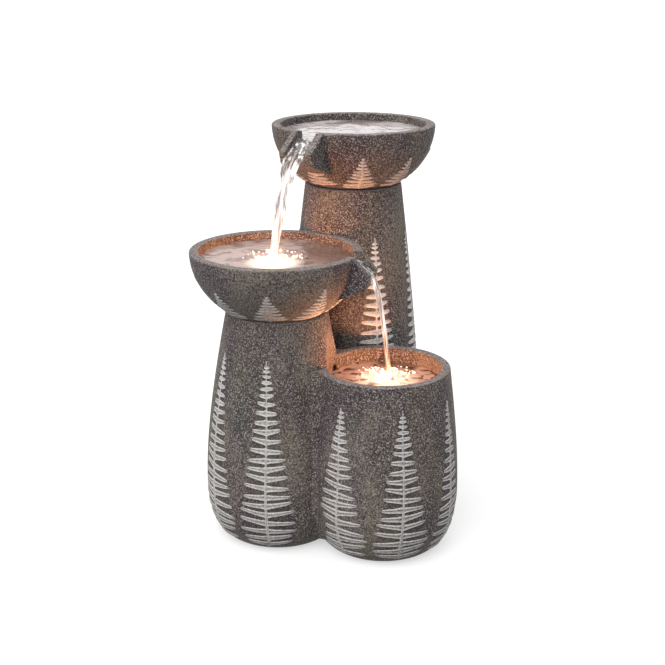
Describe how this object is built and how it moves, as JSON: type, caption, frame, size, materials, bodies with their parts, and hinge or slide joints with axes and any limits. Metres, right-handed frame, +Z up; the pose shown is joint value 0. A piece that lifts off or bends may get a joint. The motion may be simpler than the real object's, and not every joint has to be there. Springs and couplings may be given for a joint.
{
  "type": "pouring bowl fountain",
  "caption": "Free-standing tiered garden fountain: a loose top bowl pours into a lower bowl and on into a pot, with a sump, pump and lit bowls in hollow castings.",
  "frame": {"origin": "on the ground, in the middle of the object's plan", "axes": "+Z up, +X to the right and +Y to the rear as the picture sees it"},
  "size_m": [0.3919, 0.442, 0.597],
  "materials": {
    "cast_stone": "gritty, dry-brushed",
    "black_rubber": "matte",
    "grey_sealant": "matte",
    "black_plastic": "satin",
    "blue_plastic": "gloss",
    "clear_vinyl": "clear",
    "ferrite": "dull",
    "ceramic_pin": "polished",
    "steel": "brushed",
    "clear_lens": "clear",
    "lamp_board": "matte",
    "lead_sheath": "matte"
  },
  "bodies": {
    "fountain": {"rear_column_casting": "cast_stone", "left_column_casting": "cast_stone", "pot_casting": "cast_stone", "web_casting": "cast_stone", "middle_bowl": "cast_stone", "top_bowl_seat_ring": "black_rubber", "door_seal": "black_rubber", "middle_light_washer": "black_rubber", "pot_light_washer": "black_rubber", "power_inlet_seal": "black_rubber", "pump_feet": "black_rubber", "rotor_bushes": "black_rubber", "middle_bowl_sealant": "grey_sealant", "pump_motor": "black_plastic", "pump_volute": "black_plastic", "pump_strainer": "black_plastic", "middle_light_housing": "black_plastic", "pot_light_housing": "black_plastic", "middle_light_nut": "black_plastic", "pot_light_nut": "black_plastic", "power_inlet": "black_plastic", "power_inlet_nut": "black_plastic", "overflow_bush": "black_plastic", "riser_tube": "clear_vinyl", "rotor_shaft": "ceramic_pin", "riser_clip": "steel", "middle_light_bezel": "steel", "pot_light_bezel": "steel", "middle_light_lens": "clear_lens", "pot_light_lens": "clear_lens", "middle_light_board": "lamp_board", "pot_light_board": "lamp_board", "pump_lead": "lead_sheath", "middle_light_lead": "lead_sheath", "pot_light_lead": "lead_sheath"},
    "top_bowl": {"top_bowl": "cast_stone", "bowl_locating_ring": "black_plastic", "bowl_inlet_fitting": "black_plastic", "bowl_inlet_washer": "black_rubber", "bowl_inlet_nut": "black_plastic"},
    "rotor": {"pump_rotor": "ferrite", "pump_impeller": "blue_plastic"},
    "regulator": {"flow_regulator": "blue_plastic"},
    "door": {"access_door": "cast_stone", "door_knob": "black_plastic"},
    "drain_bung": {"drain_plug": "black_rubber"}
  },
  "joints": [
    {"name": "top_bowl_lift", "type": "slide", "parent": "fountain", "child": "top_bowl", "axis": [0, 0, 1], "range_m": [0, 0.12]},
    {"name": "rotor_spin", "type": "hinge", "parent": "fountain", "child": "rotor", "pos_m": [0.0425, 0.096, 0.041], "axis": [0, 1, 0], "continuous": true},
    {"name": "regulator_turn", "type": "hinge", "parent": "fountain", "child": "regulator", "pos_m": [0.0425, 0.096, 0.041], "axis": [0, 1, 0], "range_deg": [0, 45]},
    {"name": "door_pull", "type": "slide", "parent": "fountain", "child": "door", "axis": [0, 1, 0], "range_m": [0, 0.08]},
    {"name": "drain_bung_pull", "type": "slide", "parent": "fountain", "child": "drain_bung", "axis": [0, 1, 0], "range_m": [0, 0.04]}
  ]
}
